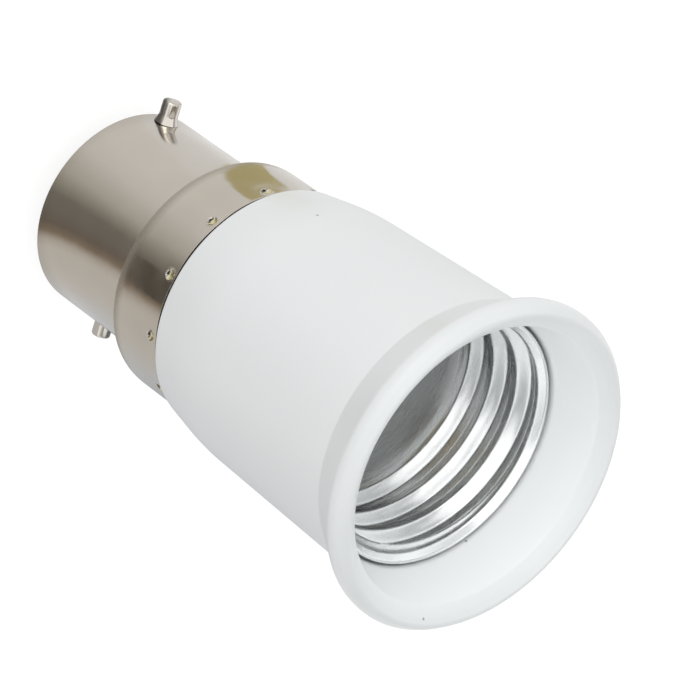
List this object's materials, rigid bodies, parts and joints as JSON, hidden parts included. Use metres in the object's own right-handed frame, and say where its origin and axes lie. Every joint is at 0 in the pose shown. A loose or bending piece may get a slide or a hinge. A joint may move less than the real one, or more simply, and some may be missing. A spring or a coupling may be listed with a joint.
{
  "type": "lamp socket adapter",
  "caption": "White flared lamp socket adapter with a plated bayonet cap at one end and an E27 screw socket in its open mouth.",
  "frame": {"origin": "on the adapter's axis, in the plane of the two contact tips at the bayonet end", "axes": "+Z along the axis from the bayonet end to the open mouth, X through the two bayonet pins, +Y through the live contact"},
  "size_m": [0.0354, 0.0354, 0.0621],
  "materials": {
    "white_body": "moulded white, soft gloss",
    "nickel_plate": "bright nickel plate on drawn sheet",
    "insulator": "moulded dark phenolic",
    "brass": "bare pressed brass",
    "solder": "frozen tin solder",
    "shell_metal": "bright rolled sheet",
    "live_insulation": "brown wire insulation",
    "neutral_insulation": "blue wire insulation"
  },
  "bodies": {
    "adapter": {"outer_body": "white_body", "bayonet_cap": "nickel_plate", "left_bayonet_pin": "nickel_plate", "right_bayonet_pin": "nickel_plate", "end_insulator": "insulator", "live_contact_plate": "brass", "neutral_contact_plate": "brass", "live_solder_bead": "solder", "neutral_solder_bead": "solder", "screw_shell": "shell_metal", "contact_leaf": "brass", "live_rivet": "brass", "neutral_rivet": "brass", "shell_rivet": "brass", "live_wire": "live_insulation", "neutral_wire": "neutral_insulation"},
    "centre_contact": {"contact_stud": "brass"}
  },
  "joints": [
    {"name": "contact_press", "type": "slide", "parent": "adapter", "child": "centre_contact", "axis": [0, 0, -1], "range_m": [0, 0.0015], "stiffness_N_per_m": 3000, "deforming": ["contact_leaf"]}
  ]
}
